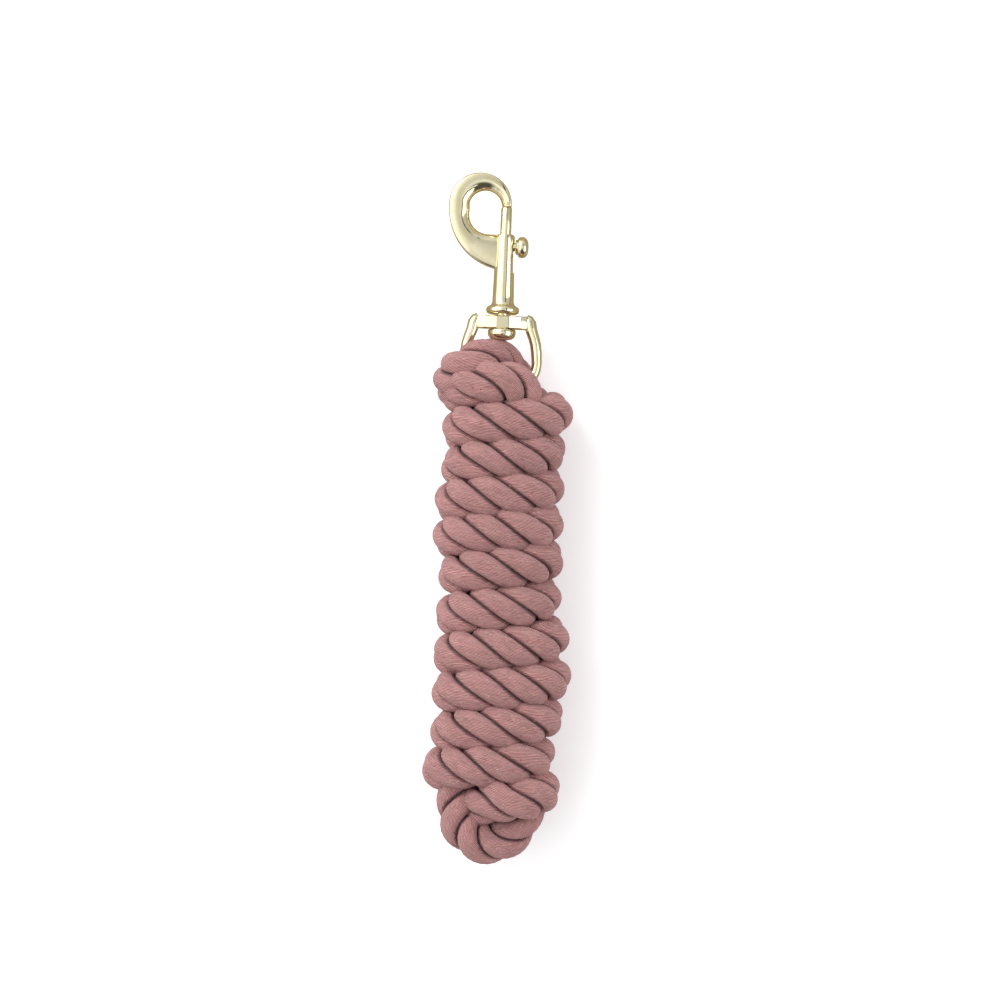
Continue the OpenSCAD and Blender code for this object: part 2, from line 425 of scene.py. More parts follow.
@dataclass(frozen=True)
class PolishedFinish:
    """Polished pale gold plating with fine polishing waves and small wear marks."""

    colour: tuple = (0.87, 0.80, 0.55, 1.0)
    worn: tuple = (0.83, 0.74, 0.46, 1.0)
    roughness: float = 0.07
    dulling: float = 0.10          # roughness that wear adds
    cloud_scale: float = 90.0
    fine_scale: float = 900.0
    wear_range: tuple = (0.35, 0.7)
    dull_shares: tuple = (0.6, 0.4)     # cloud, fine
    dull_range: tuple = (0.3, 0.8)
    fine_relief: float = 0.05
    relief: float = 0.00012

    def material(self) -> bpy.types.Material:
        """Build the material.

        Returns:
            The plating material.
        """
        t = Tree("polished_pale_gold")
        place = t.node("ShaderNodeTexCoord", out="Object")
        cloud = t.noise(place, self.cloud_scale, 3.0)
        fine = t.noise(place, self.fine_scale, 2.0)
        colour = t.mix(t.ramp(cloud, *self.wear_range), self.colour, self.worn)
        dull = t.ramp(t.blend((cloud, fine), self.dull_shares), *self.dull_range)
        return t.finish(colour, dull * self.dulling + self.roughness,
                        cloud + fine * self.fine_relief, self.relief, Metallic=1.0)


@dataclass(frozen=True)
class DrawnWireFinish:
    """Drawn steel wire."""

    colour: tuple = (0.55, 0.55, 0.56, 1.0)
    line_scale: float = 1500.0
    roughness: float = 0.2
    relief: float = 0.00002

    def material(self) -> bpy.types.Material:
        """Build the material.

        Returns:
            The steel material.
        """
        t = Tree("drawn_wire")
        draw = t.noise(t.node("ShaderNodeTexCoord", out="Object"), self.line_scale, 2.0)
        return t.finish(self.colour, draw * self.roughness + self.roughness, draw, self.relief,
                        Metallic=1.0)


def mesh_of(bm: bmesh.types.BMesh, name: str) -> bpy.types.Mesh:
    """Turn a bmesh into a mesh.

    Args:
        bm: the bmesh, which is freed.
        name: the mesh's name.

    Returns:
        The mesh.
    """
    mesh = bpy.data.meshes.new(name)
    bm.to_mesh(mesh)
    bm.free()
    return mesh


def spun(profile: list[tuple[float, float]], steps: int) -> bmesh.types.BMesh:
    """Spin a profile of (radius, height) a full turn about the Z axis.

    Args:
        profile: its points, a closed loop unless both ends lie on the axis.
        steps: steps of the full turn.

    Returns:
        The shell.
    """
    bm = bmesh.new()
    verts = [bm.verts.new((r, 0.0, h)) for r, h in profile]
    on_axis = profile[0][0] == 0 and profile[-1][0] == 0
    pairs = list(zip(verts, verts[1:])) + ([] if on_axis else [(verts[-1], verts[0])])
    edges = [bm.edges.new(p) for p in pairs]
    bmesh.ops.spin(bm, geom=verts + edges, cent=(0, 0, 0), axis=(0, 0, 1),
                   angle=2 * math.pi, steps=steps, use_merge=True)
    bmesh.ops.remove_doubles(bm, verts=bm.verts[:], dist=1e-4)
    return bm


def round_section(centre: Vector, out: Vector, up: Vector, radius: float,
                  sides: int) -> list[Vector]:
    """Draw a round wire's section.

    Args:
        centre: its middle.
        out: direction of its first point.
        up: direction a quarter of a turn on.
        radius: its radius.
        sides: number of its points.

    Returns:
        The points.
    """
    angles = [2 * math.pi * k / sides for k in range(sides)]
    return [centre + radius * (math.cos(a) * out + math.sin(a) * up) for a in angles]


def wound_wire(place: Matrix, mean: float, wire: float, span: tuple[float, float], turns: int,
               steps: int) -> list[list[Vector]]:
    """Draw the sections of a wire wound about the Z axis.

    Args:
        place: where the local frame goes.
        mean: radius of the turns.
        wire: thickness of the wire.
        span: heights of the wire's first and last middle.
        turns: number of turns.
        steps: sections in each turn.

    Returns:
        The sections.
    """
    up, (low, high), count = Vector((0, 0, 1)), span, turns * steps
    sections = []
    for i in range(count + 1):
        angle = 2 * math.pi * i / steps
        out = Vector((math.cos(angle), math.sin(angle), 0))
        centre = mean * out + (low + (high - low) * i / count) * up
        sections.append([place @ p for p in round_section(centre, out, up, wire / 2, 8)])
    return sections


class Shape:
    """One piece in the making: a bmesh worked with operators, in millimetres."""

    def __init__(self, name: str) -> None:
        """Start an empty piece.

        Args:
            name: the finished object's name.
        """
        self.name = name
        self.bm = bmesh.new()

    def loft(self, sections: list[list[Vector]]) -> None:
        """Extrude a closed ring through a row of sections and cap both ends.

        Args:
            sections: rings of equally many points each.
        """
        bm = bmesh.new()
        verts = [bm.verts.new(p) for p in sections[0]]
        edges = [bm.edges.new((a, b)) for a, b in zip(verts, verts[1:] + verts[:1])]
        first = list(edges)
        for ring in sections[1:]:
            made = bmesh.ops.extrude_edge_only(bm, edges=edges)["geom"]
            fresh = {g for g in made if isinstance(g, bmesh.types.BMVert)}
            # the copies come in the order of the edges' own vertices, so match by parent
            copies = {next(e.other_vert(v) for e in v.link_edges
                           if e.other_vert(v) not in fresh): v for v in fresh}
            verts = [copies[v] for v in verts]
            for v, p in zip(verts, ring):
                v.co = p
            edges = [bm.edges.get((a, b)) for a, b in zip(verts, verts[1:] + verts[:1])]
        bmesh.ops.contextual_create(bm, geom=first)
        bmesh.ops.contextual_create(bm, geom=edges)
        self.take(bm)

    def take(self, other: bmesh.types.BMesh, place: Matrix | None = None) -> None:
        """Add another bmesh's shell to this piece with its faces pointing out.

        Args:
            other: the bmesh, which is freed.
            place: where its local frame goes.
        """
        if place:
            bmesh.ops.transform(other, matrix=place, verts=other.verts[:])
        bmesh.ops.recalc_face_normals(other, faces=other.faces[:])
        mesh = mesh_of(other, "part")
        self.bm.from_mesh(mesh)
        bpy.data.meshes.remove(mesh)

    def mesh(self) -> bpy.types.Mesh:
        """Turn the piece into a mesh in metres.

        Returns:
            The mesh.
        """
        bmesh.ops.transform(self.bm, matrix=Matrix.Scale(MM, 4), verts=self.bm.verts[:])
        return mesh_of(self.bm, self.name)


def place_mesh(mesh: bpy.types.Mesh, material: bpy.types.Material, body: Body,
               smooth_angle: float = 32.0) -> bpy.types.Object:
    """Make an object of a finished mesh, dress it and let it ride on a body.

    Args:
        mesh: the mesh, in metres.
        material: its material.
        body: the body it rides on.
        smooth_angle: edges sharper than this stay sharp, in degrees.

    Returns:
        The object.
    """
    mesh.polygons.foreach_set("use_smooth", [True] * len(mesh.polygons))
    mesh.set_sharp_from_angle(angle=math.radians(smooth_angle))
    mesh.materials.append(material)
    piece = bpy.data.objects.new(mesh.name, mesh)
    bpy.context.scene.collection.objects.link(piece)
    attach(piece, body.value)
    log.info("%s: %d faces on body %s", mesh.name, len(mesh.polygons), body.value)
    return piece


def snap_place(height: float = 0.0) -> Matrix:
    """Return the frame of the snap's axis: local Z up the axis, local X to the stud's side.

    Args:
        height: height of the local origin above the flange's underside.

    Returns:
        The frame.
    """
    turn = Matrix(((1, 0, 0, 0), (0, 0, 1, 0), (0, -1, 0, 0), (0, 0, 0, 1)))
    return Matrix.Translation((SNAP_X, SNAP_Y + height, AXIS_Z)) @ turn


def arc(cx: float, cy: float, r: float, start: float, end: float, n: int) -> list[Vector]:
    """Lay points along an arc.

    Args:
        cx: centre, sideways.
        cy: centre, upwards.
        r: radius.
        start: first direction in degrees.
        end: last direction in degrees.
        n: number of steps.

    Returns:
        The points.
    """
    angles = [math.radians(start + (end - start) * i / n) for i in range(n + 1)]
    return [Vector((cx + r * math.cos(a), cy + r * math.sin(a))) for a in angles]


def run_length(points: list[Vector]) -> float:
    """Return the length of a line of points."""
    return sum((b - a).length for a, b in zip(points, points[1:]))


def even(points: list[Vector], count: int) -> list[Vector]:
    """Space points evenly along a line of points.

    Args:
        points: the line.
        count: how many points to give.

    Returns:
        The spaced points.
    """
    total = run_length(points)
    out, walked, k = [], 0.0, 0
    for i in range(count):
        goal = total * i / (count - 1)
        while k < len(points) - 2 and walked + (points[k + 1] - points[k]).length < goal:
            walked += (points[k + 1] - points[k]).length
            k += 1
        length = (points[k + 1] - points[k]).length
        out.append(points[k].lerp(points[k + 1], min(1.0, (goal - walked) / length)))
    return out


def spline(points: list[Vector], step: float, fineness: int = 24) -> list[Vector]:
    """Run a centripetal Catmull-Rom curve through points and space it evenly.

    Args:
        points: the points that the curve goes through.
        step: distance between the results.
        fineness: steps between two of the points before the spacing.

    Returns:
        Points along the curve.
    """
    ends = [2 * points[0] - points[1]] + points + [2 * points[-1] - points[-2]]
    dense: list[Vector] = []
    for a, b, c, d in zip(ends, ends[1:], ends[2:], ends[3:]):
        t1 = (b - a).length ** 0.5
        t2 = t1 + (c - b).length ** 0.5
        t3 = t2 + (d - c).length ** 0.5
        for i in range(fineness):
            t = t1 + (t2 - t1) * i / fineness
            ab = a * ((t1 - t) / t1) + b * (t / t1)
            bc = b * ((t2 - t) / (t2 - t1)) + c * ((t - t1) / (t2 - t1))
            cd = c * ((t3 - t) / (t3 - t2)) + d * ((t - t2) / (t3 - t2))
            abc = ab * ((t2 - t) / t2) + bc * (t / t2)
            bcd = bc * ((t3 - t) / (t3 - t1)) + cd * ((t - t1) / (t3 - t1))
            dense.append(abc * ((t2 - t) / (t2 - t1)) + bcd * ((t - t1) / (t2 - t1)))
    dense.append(points[-1])
    return even(dense, max(2, round(run_length(dense) / step)) + 1)


def drift(values: list[float], place: float) -> float:
    """Read a list between its values.

    Args:
        values: one value for each whole number.
        place: where to read.

    Returns:
        The value on the straight line between the two nearest.
    """
    k, part = int(place), place % 1
    return values[k] * (1 - part) + values[k + 1] * part


@dataclass(frozen=True)
class Wrap:
    """One turn of the hank, as it crosses the front."""

    y: float          # height of its centre line at the middle of the front
    left: float       # reach of its centre line to the left
    right: float      # reach of its centre line to the right


@dataclass
class LaidRope:
    """The whole rope: eye bight, core, wraps and tail, as one run of three strands."""

    diameter: float = 20.0
    strands: int = 3
    lay: float = 44.0             # length of one full turn of the strands
    ring_step: float = 2.1
    eases: int = 6                # times that the path is evened out
    smooth_angle: float = 60.0
    # a strand's section
    sides: int = 24
    crown_r: float = 11.6
    plump: float = 0.25
    crease: float = 0.12
    crease_power: int = 6
    half_angle: float = 59.7      # just under half of a third of a turn
    wall_steps: tuple = (0.72, 0.38)
    wall_gap: float = 0.25
    heart: float = 0.3
    crown_from: float = 0.7       # share of the crown's radius at the foot of a groove
    # its yarns
    strand_r: float = 5.6
    yarn_lean: float = 0.78
    yarn_shift: float = 0.37
    # unevenness of the lay and of each strand's thickness
    sway_run: float = 40.0
    sway: float = 0.05
    swell_run: float = 18.0
    swell: float = 0.045
    # its two ends, with lengths measured from the end
    end_lead: float = 1.2
    head_round: float = 4.0
    cut_round: float = 1.6
    end_thin: float = 0.35
    cut_flare: float = 1.5
    flare_share: float = 0.35
    bound_to: float = 7.0
    bound_run: float = 12.0
    bound_share: float = 0.87     # thickness under the twine
    # the hank
    middle_z: float = 31.0
    half_depth: float = 19.35
    reach_inset: float = 1.3
    boxiness: float = 0.86        # under 1, a turn is fuller than an ellipse
    turn_steps: int = 16
    first_part: float = 0.14
    last_part: float = 0.74
    eye_route: tuple = ((6, 60, 17), (5, 68, 16), (1, 75, 19), (-4, 80, 25), (-8, 81.5, 33),
                        (-12, 81, 41), (-17, 79.5, 45.5), (-22, 77, 45), (-26, 73.5, 40),
                        (-27.5, 70, 32), (-27, 67.5, 24))
    into_core: tuple = ((-23, 65, 16), (-15, 61, 12), (-8, 54, 15), (-6, 44, 20), (-6, 30, 23),
                        (-6, 0, 24), (-6, -40, 24), (-6, -80, 24), (-7, -110, 25),
                        (-11, -127, 30))
    end_route: tuple = ((-16, -142, 35), (-17, -150, 35), (-16, -158, 35), (-11, -165, 35),
                        (-3, -169, 35), (5, -168, 35), (12, -162, 34), (16, -154, 33),
                        (17, -146, 32), (15, -138, 31))
    out_of_core: tuple = ((11, -122, 34), (7, -105, 37), (6, -80, 38), (6, -40, 38), (6, 0, 38),
                          (6, 30, 37), (8, 46, 37), (9.5, 56, 39), (8, 63.5, 43))
    first_turn: tuple = ((3, 68, 48), (-5, 69.5, 51.5), (-14, 68.5, 51.5))
    wraps: tuple = (Wrap(69.7, 25, 24), Wrap(49.8, 23.5, 24.5), Wrap(30.5, 23.5, 21.5),
                    Wrap(12, 26, 21.5), Wrap(-6.5, 26.5, 22), Wrap(-25.5, 23, 22.5),
                    Wrap(-46, 23.5, 22.5), Wrap(-67, 24, 27), Wrap(-87, 24, 29),
                    Wrap(-107, 23, 26), Wrap(-127, 27, 22))
    after_wraps: Wrap = Wrap(-145, 27, 24)
    last_turn: tuple = ((24, -141.5, 40), (18, -142.5, 48), (9, -144.5, 50.5))
    tail_route: tuple = ((0, -144, 46), (-4, -148, 40), (-6.5, -150, 32), (-8, -150, 23),
                         (-9, -151, 18.5), (-9.5, -153.5, 14.5), (-10, -157.5, 12),
                         (-10, -162, 11), (-10, -170, 11))
    rng: random.Random = field(default_factory=lambda: random.Random(7))

    def wound(self) -> list[Vector]:
        """Work out the turns of the hank from the left of the first wrap to the right edge.

        Returns:
            Points along the wraps.
        """
        points = []
        last = len(self.wraps) - 1
        for i, (wrap, after) in enumerate(zip(self.wraps, (*self.wraps[1:], self.after_wraps))):
            for k in range(self.turn_steps):
                # part 0 is the middle of the front, and the turn goes left and round the back
                part = k / self.turn_steps
                if i == 0 and part < self.first_part or i == last and part > self.last_part:
                    continue
                phi = math.pi / 2 + 2 * math.pi * part
                c, s = math.cos(phi), math.sin(phi)
                reach = (wrap.left if c < 0 else after.right) - self.reach_inset
                c = math.copysign(abs(c) ** self.boxiness, c)
                s = math.copysign(abs(s) ** self.boxiness, s)
                points.append(Vector((reach * c, wrap.y - (wrap.y - after.y) * part,
                                      self.middle_z + self.half_depth * s)))
        return points

    def path(self) -> list[Vector]:
        """Run the rope from its hidden end at the eye to its whipped tail.

        Returns:
            Evenly spaced points along its centre line.
        """
        fixed = [Vector(p) for p in (*self.eye_route, *self.into_core, *self.end_route,
                                     *self.out_of_core, *self.first_turn)]
        ending = [Vector(p) for p in (*self.last_turn, *self.tail_route)]
        path = spline(fixed + self.wound() + ending, self.ring_step)
        for _ in range(self.eases):
            path[1:-1] = [a * 0.25 + b * 0.5 + c * 0.25
                          for a, b, c in zip(path, path[1:], path[2:])]
        return path

    def section(self) -> list[tuple[float, float]]:
        """Draw one strand's section: a third of the rope, plump outside, with deep creases.

        Returns:
            Points as (outward, sideways).
        """
        outside = self.sides - 2 * len(self.wall_steps) - 2
        points = []
        for k in range(outside + 1):
            x = 2 * k / outside - 1
            r = self.crown_r * (1 - self.plump * x * x
                                - self.crease * abs(x) ** self.crease_power)
            theta = math.radians(self.half_angle) * x
            points.append((r * math.cos(theta), r * math.sin(theta)))
        wall = points[-1]
        inner = [(wall[0] * f + self.wall_gap, wall[1] * f) for f in self.wall_steps]
        return points + inner + [(self.heart, 0.0)] + [(x, -y) for x, y in reversed(inner)]

    def frames(self, path: list[Vector]) -> list[tuple[Vector, Vector]]:
        """Carry a frame along the path without turning it about the path.

        Args:
            path: points of the centre line.

        Returns:
            (side, up) at each point.
        """
        out = []
        side = Vector((0, 0, 1))
        for i in range(len(path)):
            along = (path[min(i + 1, len(path) - 1)] - path[max(i - 1, 0)]).normalized()
            side = (side - along * side.dot(along)).normalized()
            out.append((side, along.cross(side)))
        return out

    def thickness(self, done: float, left: float, bulge: float) -> float:
        """Work out a strand's thickness at a place along the rope.

        Args:
            done: length from the rope's start.
            left: length to its cut end.
            bulge: the strand's own unevenness there, from -1 to 1.

        Returns:
            The thickness, where 1 is that of the section.
        """
        end = min(1.0, (done + self.end_lead) / self.head_round,
                  (left + self.end_lead) / self.cut_round)
        bound = self.flare_share
        if left > self.cut_flare:
            bound = min(1.0, max(0.0, (left - self.bound_to) / self.bound_run))
        return ((1 + self.swell * bulge)
                * (self.end_thin + (1 - self.end_thin) * math.sqrt(max(end, 0.0)))
                * (self.bound_share + (1 - self.bound_share) * bound))

    def points(self, path: list[Vector], step: float) -> tuple[list[Vector], list[float]]:
        """Twist the three strands' sections along the path.

        Args:
            path: points of the centre line.
            step: distance between them.

        Returns:
            The strands' points in metres, and how near its crown each lies, from 0 to 1.
        """
        section, frames = self.section(), self.frames(path)
        whole = (len(path) - 1) * step
        crown = [min(1.0, max(0.0, (math.hypot(*p) / self.crown_r - self.crown_from)
                              / (1 - self.crown_from))) for p in section]

        def draws(run: float) -> list[float]:
            """Draw an unevenness from -1 to 1 for each run of the rope."""
            return [self.rng.uniform(-1, 1) for _ in range(int(len(path) * step / run) + 3)]
        verts = []
        sway = draws(self.sway_run)
        for strand in range(self.strands):
            swell = draws(self.swell_run)
            for i, centre in enumerate(path):
                s = i * step
                side, up = frames[i]
                twist = 2 * math.pi * (s / self.lay + strand / self.strands
                                       + self.sway * drift(sway, s / self.sway_run))
                a = math.cos(twist) * side + math.sin(twist) * up
                b = math.cos(twist) * up - math.sin(twist) * side
                grow = self.thickness(s, whole - s, drift(swell, s / self.swell_run))
                verts += [(centre + (a * out + b * across) * grow) * MM
                          for out, across in section]
        return verts, crown * (len(path) * self.strands)

    def skin(self, rings: int, step: float) -> tuple[list[tuple], list[float]]:
        """Join the strands' points to closed shells.

        Args:
            rings: number of sections along the rope.
            step: distance between them.

        Returns:
            The faces, and a UV map that follows the yarns.
        """
        n = self.sides
        yarn_turn = self.yarn_lean * self.crown_r / (self.strand_r * self.lay)
        faces, uvs = [], []
        for strand in range(self.strands):
            base = strand * rings * n
            for i in range(rings - 1):
                for k in range(n):
                    q = (k + 1) % n
                    faces.append((base + i * n + k, base + i * n + q,
                                  base + (i + 1) * n + q, base + (i + 1) * n + k))
                    for ring, turn in ((i, k), (i, k + 1), (i + 1, k + 1), (i + 1, k)):
                        uvs += [turn / n + strand * self.yarn_shift + ring * step * yarn_turn,
                                ring * step * MM]
            for ring, order in ((0, range(n - 1, -1, -1)), (rings - 1, range(n))):
                faces.append(tuple(base + ring * n + k for k in order))
                uvs += [0.0, ring * step * MM] * n
        return faces, uvs

    def mesh(self, path: list[Vector]) -> bpy.types.Mesh:
        """Sweep the three strands along the path.

        Args:
            path: points of the centre line.

        Returns:
            The mesh, with yarn coordinates as its UV map and each point's crown height.
        """
        step = run_length(path) / (len(path) - 1)
        verts, crowns = self.points(path, step)
        faces, uvs = self.skin(len(path), step)
        mesh = bpy.data.meshes.new("laid_rope")
        mesh.from_pydata(verts, [], faces)
        mesh.uv_layers.new(name="UVMap").data.foreach_set("uv", uvs)
        # the crown height is the mask of the cotton's painted shade in the creases
        mesh.attributes.new("crown", "FLOAT", "POINT").data.foreach_set("value", crowns)
        bm = bmesh.new()
        bm.from_mesh(mesh)
        bmesh.ops.recalc_face_normals(bm, faces=bm.faces[:])
        bm.to_mesh(mesh)
        bm.free()
        return mesh


@dataclass
class Whipping:
    """Turns of twine round the rope's cut end."""

    centre: tuple = (-10.0, 11.0)
    start: float = -169.3
    length: float = 7.6
    turns: int = 8
    twine: float = 0.95
    radius: float = 10.15
    steps: int = 30

    def build(self, material: bpy.types.Material) -> bpy.types.Object:
        """Wind the twine.

        Args:
            material: the twine's material.

        Returns:
            The whipping.
        """
        shape = Shape("tail_twine")
        low = self.start + self.twine / 2
        # local Z lies along the rope
        place = Matrix(((1, 0, 0, self.centre[0]), (0, 0, 1, 0), (0, 1, 0, self.centre[1]),
                        (0, 0, 0, 1)))
        shape.loft(wound_wire(place, self.radius, self.twine,
                              (low, low + self.length - self.twine), self.turns, self.steps))
        layer = shape.bm.loops.layers.uv.new("UVMap")
        for face in shape.bm.faces:
            for loop in face.loops:
                co = loop.vert.co
                loop[layer].uv = (math.atan2(co.z, co.x) / (2 * math.pi), co.y * MM)
        return place_mesh(shape.mesh(), material, Body.ROPE)


@dataclass
class Snap:
    """Hook body, bolt, thumb stud, spring, rivet and swivel eye."""

    plating: bpy.types.Material
    steel: bpy.types.Material
    # barrel and flange; an outline is a row of (in from the rim, height)
    barrel_d: float = 11.5
    barrel_top_d: float = 9.6
    barrel_h: float = 41.4
    bore_d: float = 5.86
    press_d: float = 5.0
    press_l: float = 8.0
    flange_d: float = 17.4
    flange_outline: tuple = ((1.7, 0.0), (1.0, 0.25), (0.4, 0.8), (0.1, 1.5), (0.0, 2.2),
                             (0.15, 3.0), (0.7, 3.8), (1.6, 4.3), (2.4, 4.7))
    neck_fillet: tuple = (0.25, 5.4)
    neck_top: float = 6.4
    mouth_outline: tuple = ((0.0, 0.8), (0.25, 0.25), (0.8, 0.0))  # (in, below the top)
    mouth_bevel: float = 0.3
    barrel_steps: int = 72
    slot_low: float = 21.6
    slot_high: float = 37.6
    slot_half: float = 30.0        # half of the slot's width, in degrees
    slot_rows: tuple = (24, 27, 30, 33, 35.5)
    wall_rows: tuple = (9, 12, 15, 18)
    top_row: float = 39.5
    # hook; an arc is (centre, centre, radius, first and last direction, steps)
    ring_r: float = 16.3
    ring_x: float = 13.7
    ring_y: float = 56.7
    ring_steps: int = 48
    beak_x: float = -2.6
    beak_y: float = 56.0
    blade: tuple = (2.0, 54.7, 32.0, 183, 256, 26)
    blade_foot: tuple = ((-2.5, 22.3), (-0.5, 21.8))
    throat_top: tuple = (-11.0, 55.4, 8.4, 12, 166, 30)
    throat_low: tuple = (-9.0, 51.6, 10.2, 170, 266, 20)
    throat_foot: tuple = ((-6, 41.4), (-2, 41.0))
    hook_rings: int = 96
    hook_t: float = 8.4
    root_t: float = 5.6
    root_x: float = -13.0          # where the blade begins to thin towards the barrel
    root_run: float = 9.0
    root_top: float = 50.0
    tip_rings: int = 14            # rings over which the beak's tip loses its rounding
    outer_round: float = 1.3
    inner_round: float = 3.5
    outer_share: float = 0.2       # most of the width that each rounding may take
    inner_share: float = 0.42
    tip_share: float = 0.72
    quarter: tuple = (0, 22.5, 45, 67.5, 90)
    dome: float = 0.3
    dome_rows: tuple = (0.25, 0.5, 0.75)
    inner_outline: tuple = ((1.0, 0.0), (0.55, 0.28), (0.2, 0.6), (0.04, 0.9))
    hook_smooth: float = 29.0
    # bolt and thumb stud; an outline is a row of (in from the rim, height)
    bolt_d: float = 5.7
    bolt_y0: float = 30.7
    bolt_l: float = 25.0
    bolt_rows: tuple = (8, 16)
    bolt_bevel: float = 0.3
    bolt_nose: tuple = ((0.0, 0.7), (0.15, 0.35), (0.6, 0.0))
    neck_y: float = 35.1
    neck_d: float = 4.4
    neck_foot: tuple = ((0.2, 1.2), (0.0, 1.6))
    neck_length: float = 1.25      # from the neck's end to the knob's middle line
    knob_d: float = 11.0
    knob_t: float = 5.6
    knob_in: float = 6.6
    knob_outline: tuple = ((1.9, -1.2), (1.6, -0.9), (1.6, -0.2), (1.3, 0.05), (0.7, 0.25),
                           (0.15, 0.9), (0.0, 1.8), (0.03, 2.8), (0.3, 3.7), (0.9, 4.5),
                           (1.9, 5.1), (3.4, 5.5))
    # rivet, as (radius, height): head, shoulder and pressed end
    rivet_outline: tuple = ((0, -13.4), (3.4, -13.35), (5.2, -13.0), (6.3, -12.3),
                            (6.95, -11.4), (7.25, -10.4), (7.3, -9.4), (7.25, -8.6),
                            (6.9, -8.05), (6.3, -7.8), (3.2, -7.8), (3.2, 0), (2.5, 0),
                            (2.5, 7.6), (2.2, 8), (0, 8))
    # spring
    spring_span: tuple = (8.45, 30.25)
    spring_wire: float = 0.8
    spring_r: float = 2.23
    spring_turns: int = 8
    spring_steps: int = 18
    # swivel eye
    bar_hole: float = 3.28
    bar_low: float = -7.6
    bar_high: float = -0.9
    bar_bevel: float = 0.5
    bar_corners: tuple = ((13.4, -3.2), (13.4, 3.2), (3.1, 6.6), (-3.1, 6.6), (-13.4, 3.2))
    bar_steps: int = 96
    arm: tuple = ((-12.2, -1.9, 2.4), (-13.6, -2.7, 3.0), (-14.6, -4.4, 3.25),
                  (-15.5, -8.2, 3.05), (-16.9, -12, 2.9), (-17.9, -15.5, 2.85),
                  (-18.5, -20, 2.8))   # (sideways, up, radius)
    bottom: tuple = (-5.6, -25, 13.2, 180, 270, 14)
    bottom_r: float = 2.6
    eye_sides: int = 20

    def outer_edge(self) -> list[Vector]:
        """Walk the hook's outer edge from the beak's tip over the ring to the barrel.

        Returns:
            Points in the snap's plane.
        """
        start = math.degrees(math.asin((self.beak_y - self.ring_y) / self.ring_r))
        points = arc(-self.ring_x, self.ring_y, self.ring_r, start, 180, self.ring_steps)
        return points + arc(*self.blade) + [Vector(p) for p in self.blade_foot]

    def inner_edge(self) -> list[Vector]:
        """Walk the throat's edge from the beak's tip to the barrel's open end.

        Returns:
            Points in the snap's plane.
        """
        return ([Vector((self.beak_x, self.beak_y))] + arc(*self.throat_top)
                + arc(*self.throat_low) + [Vector(p) for p in self.throat_foot])

    def hook_ring(self, k: int, o: Vector, i: Vector) -> list[Vector]:
        """Draw one section across the hook's band.

        Args:
            k: its number from the beak's tip.
            o: its point on the outer edge.
            i: its point on the inner edge.

        Returns:
            The section's points.
        """
        across, width = (i - o).normalized(), (i - o).length
        near = 0.0
        if o.y < self.root_top:
            near = min(1.0, max(0.0, (max(o.x, i.x) - self.root_x) / self.root_run))
        half = (self.hook_t + (self.root_t - self.hook_t) * near) / 2 - self.dome
        oc = min(self.outer_round, width * self.outer_share)
        ic = min(self.inner_round, width * self.inner_share)
        ic += (width * self.tip_share - ic) * max(0.0, 1 - k / self.tip_rings)
        upper = [(oc - oc * math.cos(a), half - oc + oc * math.sin(a))
                 for a in map(math.radians, self.quarter)]
        upper += [(oc + (width - oc - ic) * f, half + self.dome * (1 - (2 * f - 1) ** 2))
                  for f in self.dome_rows]
        upper += [(width - ic * f, half - ic * drop) for f, drop in self.inner_outline]
        return [Vector((SNAP_X + o.x + across.x * w, SNAP_Y + o.y + across.y * w, AXIS_Z + z))
                for w, z in upper + [(w, -z) for w, z in reversed(upper)]]

    def hook_body(self) -> None:
        """Build the hook body: barrel with bore and slot, flange, ring and blade."""
        shape = Shape("hook_body_shell")
        edges = (even(edge, self.hook_rings) for edge in (self.outer_edge(), self.inner_edge()))
        shape.loft([self.hook_ring(k, o, i) for k, (o, i) in enumerate(zip(*edges))])
        self.barrel(shape)
        piece = place_mesh(shape.mesh(), self.plating, Body.SNAP,
                           self.hook_smooth)
        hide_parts("hook_body")

    def barrel(self, shape: Shape) -> None:
        """Spin the barrel with its flange and bore, and cut the stud's slot.

        Args:
            shape: the piece to add it to.
        """
        foot, top, bore = self.barrel_d / 2, self.barrel_h, self.bore_d / 2

        def wall(h: float) -> float:
            """Return the barrel's outer radius at a height."""
            return foot + (self.barrel_top_d / 2 - foot) * h / top
        rim, press = self.flange_d / 2, self.press_d / 2
        rows = (*self.wall_rows, self.slot_low, *self.slot_rows, self.slot_high, self.top_row)
        profile = [(press, 0.0)] + [(rim - inset, h) for inset, h in self.flange_outline]
        profile += [(foot + self.neck_fillet[0], self.neck_fillet[1]),
                    (wall(self.neck_top), self.neck_top)]
        profile += [(wall(h), float(h)) for h in rows]
        profile += [(wall(top) - inset, top - drop) for inset, drop in self.mouth_outline]
        profile += [(bore + self.mouth_bevel, top), (bore, top - self.mouth_bevel)]
        profile += [(bore, float(h)) for h in reversed(rows)]
        profile += [(bore, self.press_l), (press, self.press_l)]
        bm = spun(profile, self.barrel_steps)
        middles = [(face, face.calc_center_median()) for face in bm.faces]
        cut = [face for face, m in middles if self.slot_low < m.z < self.slot_high
               and abs(math.atan2(m.y, m.x)) < math.radians(self.slot_half)]
        bmesh.ops.delete(bm, geom=cut, context="FACES")
        bmesh.ops.bridge_loops(bm, edges=[e for e in bm.edges if e.is_boundary])
        shape.take(bm, snap_place())

    def bolt(self) -> None:
        """Build the sliding bolt."""
        r, top, bevel = self.bolt_d / 2, self.bolt_l, self.bolt_bevel
        profile = [(0, 0), (r - bevel, 0), (r, bevel)] + [(r, h) for h in self.bolt_rows]
        profile += [(r - inset, top - drop) for inset, drop in self.bolt_nose] + [(0, top)]
        shape = Shape("sliding_bolt")
        shape.take(spun(profile, steps=48), snap_place(self.bolt_y0))
        piece = place_mesh(shape.mesh(), self.plating, Body.BOLT)
        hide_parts("bolt")

